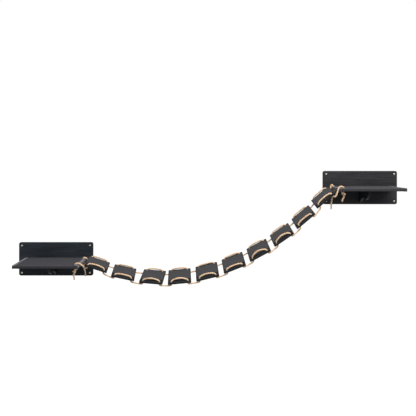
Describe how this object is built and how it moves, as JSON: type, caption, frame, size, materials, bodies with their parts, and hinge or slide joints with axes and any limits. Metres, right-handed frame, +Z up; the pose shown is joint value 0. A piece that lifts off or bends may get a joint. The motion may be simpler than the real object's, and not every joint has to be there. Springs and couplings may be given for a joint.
{
  "type": "cat wall walkway",
  "caption": "Wall walkway for cats: felt-topped wall shelves at different heights, joined by a slack hanging bridge of padded wooden treads threaded on twisted rope.",
  "frame": {"origin": "centre of the left back plate's rear face, on the wall", "axes": "+X along the wall from the left shelf to the higher right shelf, +Y into the wall, +Z up"},
  "size_m": [2.04, 0.232, 0.5778],
  "materials": {
    "black_stained_wood": "near-black stain, satin",
    "grey_felt": "dark grey felt, matt",
    "textured_pad": "dark grey looped pile, matt",
    "twisted_rope": "tan three-strand natural fibre",
    "zinc_screw": "zinc-plated steel"
  },
  "bodies": {
    "shelves_and_ropes": {"left_back_plate": "black_stained_wood", "left_platform_board": "black_stained_wood", "left_platform_felt": "grey_felt", "left_bracket": "black_stained_wood", "left_wall_screw_1": "zinc_screw", "left_wall_screw_2": "zinc_screw", "left_wall_screw_3": "zinc_screw", "left_wall_screw_4": "zinc_screw", "left_platform_screw_a": "zinc_screw", "left_platform_screw_b": "zinc_screw", "left_bracket_rear_screw": "zinc_screw", "left_bracket_top_screw": "zinc_screw", "right_back_plate": "black_stained_wood", "right_platform_board": "black_stained_wood", "right_platform_felt": "grey_felt", "right_bracket": "black_stained_wood", "right_wall_screw_1": "zinc_screw", "right_wall_screw_2": "zinc_screw", "right_wall_screw_3": "zinc_screw", "right_wall_screw_4": "zinc_screw", "right_platform_screw_a": "zinc_screw", "right_platform_screw_b": "zinc_screw", "right_bracket_rear_screw": "zinc_screw", "right_bracket_top_screw": "zinc_screw", "near_rope": "twisted_rope", "far_rope": "twisted_rope", "left_near_knot": "twisted_rope", "left_near_tail": "twisted_rope", "left_far_knot": "twisted_rope", "left_far_tail": "twisted_rope", "right_near_knot": "twisted_rope", "right_near_tail": "twisted_rope", "right_far_knot": "twisted_rope", "right_far_tail": "twisted_rope"},
    "tread_01": {"tread_01_board": "black_stained_wood", "tread_01_pad": "textured_pad"},
    "tread_02": {"tread_02_board": "black_stained_wood", "tread_02_pad": "textured_pad"},
    "tread_03": {"tread_03_board": "black_stained_wood", "tread_03_pad": "textured_pad"},
    "tread_04": {"tread_04_board": "black_stained_wood", "tread_04_pad": "textured_pad"},
    "tread_05": {"tread_05_board": "black_stained_wood", "tread_05_pad": "textured_pad"},
    "tread_06": {"tread_06_board": "black_stained_wood", "tread_06_pad": "textured_pad"},
    "tread_07": {"tread_07_board": "black_stained_wood", "tread_07_pad": "textured_pad"},
    "tread_08": {"tread_08_board": "black_stained_wood", "tread_08_pad": "textured_pad"},
    "tread_09": {"tread_09_board": "black_stained_wood", "tread_09_pad": "textured_pad"},
    "tread_10": {"tread_10_board": "black_stained_wood", "tread_10_pad": "textured_pad"}
  },
  "joints": [
    {"name": "tread_01_rock", "type": "hinge", "parent": "shelves_and_ropes", "child": "tread_01", "pos_m": [0.24416, -0.125, -0.00571], "axis": [-0.0599, 0.9961, 0.0641], "range_deg": [-2.5, 2.5], "stiffness_Nm_per_rad": 0.5},
    {"name": "tread_02_rock", "type": "hinge", "parent": "shelves_and_ropes", "child": "tread_02", "pos_m": [0.38182, -0.125, -0.04873], "axis": [-0.0385, 0.9937, 0.1054], "range_deg": [-2.5, 2.5], "stiffness_Nm_per_rad": 0.5},
    {"name": "tread_03_rock", "type": "hinge", "parent": "shelves_and_ropes", "child": "tread_03", "pos_m": [0.53093, -0.125, -0.07038], "axis": [0.0583, 0.9891, 0.1356], "range_deg": [-2.5, 2.5], "stiffness_Nm_per_rad": 0.5},
    {"name": "tread_04_rock", "type": "hinge", "parent": "shelves_and_ropes", "child": "tread_04", "pos_m": [0.66865, -0.125, -0.06821], "axis": [-0.0174, 0.9866, 0.1625], "range_deg": [-2.5, 2.5], "stiffness_Nm_per_rad": 0.5},
    {"name": "tread_05_rock", "type": "hinge", "parent": "shelves_and_ropes", "child": "tread_05", "pos_m": [0.81071, -0.125, -0.04323], "axis": [-0.0112, 0.9848, 0.1732], "range_deg": [-2.5, 2.5], "stiffness_Nm_per_rad": 0.5},
    {"name": "tread_06_rock", "type": "hinge", "parent": "shelves_and_ropes", "child": "tread_06", "pos_m": [0.94734, -0.125, 0.00306], "axis": [-0.0028, 0.9849, 0.173], "range_deg": [-2.5, 2.5], "stiffness_Nm_per_rad": 0.5},
    {"name": "tread_07_rock", "type": "hinge", "parent": "shelves_and_ropes", "child": "tread_07", "pos_m": [1.07631, -0.125, 0.06775], "axis": [0.0102, 0.9863, 0.1649], "range_deg": [-2.5, 2.5], "stiffness_Nm_per_rad": 0.5},
    {"name": "tread_08_rock", "type": "hinge", "parent": "shelves_and_ropes", "child": "tread_08", "pos_m": [1.19649, -0.125, 0.14763], "axis": [0.0283, 0.988, 0.1522], "range_deg": [-2.5, 2.5], "stiffness_Nm_per_rad": 0.5},
    {"name": "tread_09_rock", "type": "hinge", "parent": "shelves_and_ropes", "child": "tread_09", "pos_m": [1.30768, -0.125, 0.23965], "axis": [0.0508, 0.9892, 0.1375], "range_deg": [-2.5, 2.5], "stiffness_Nm_per_rad": 0.5},
    {"name": "tread_10_rock", "type": "hinge", "parent": "shelves_and_ropes", "child": "tread_10", "pos_m": [1.41022, -0.125, 0.34122], "axis": [0.0767, 0.9895, 0.1226], "range_deg": [-2.5, 2.5], "stiffness_Nm_per_rad": 0.5}
  ]
}
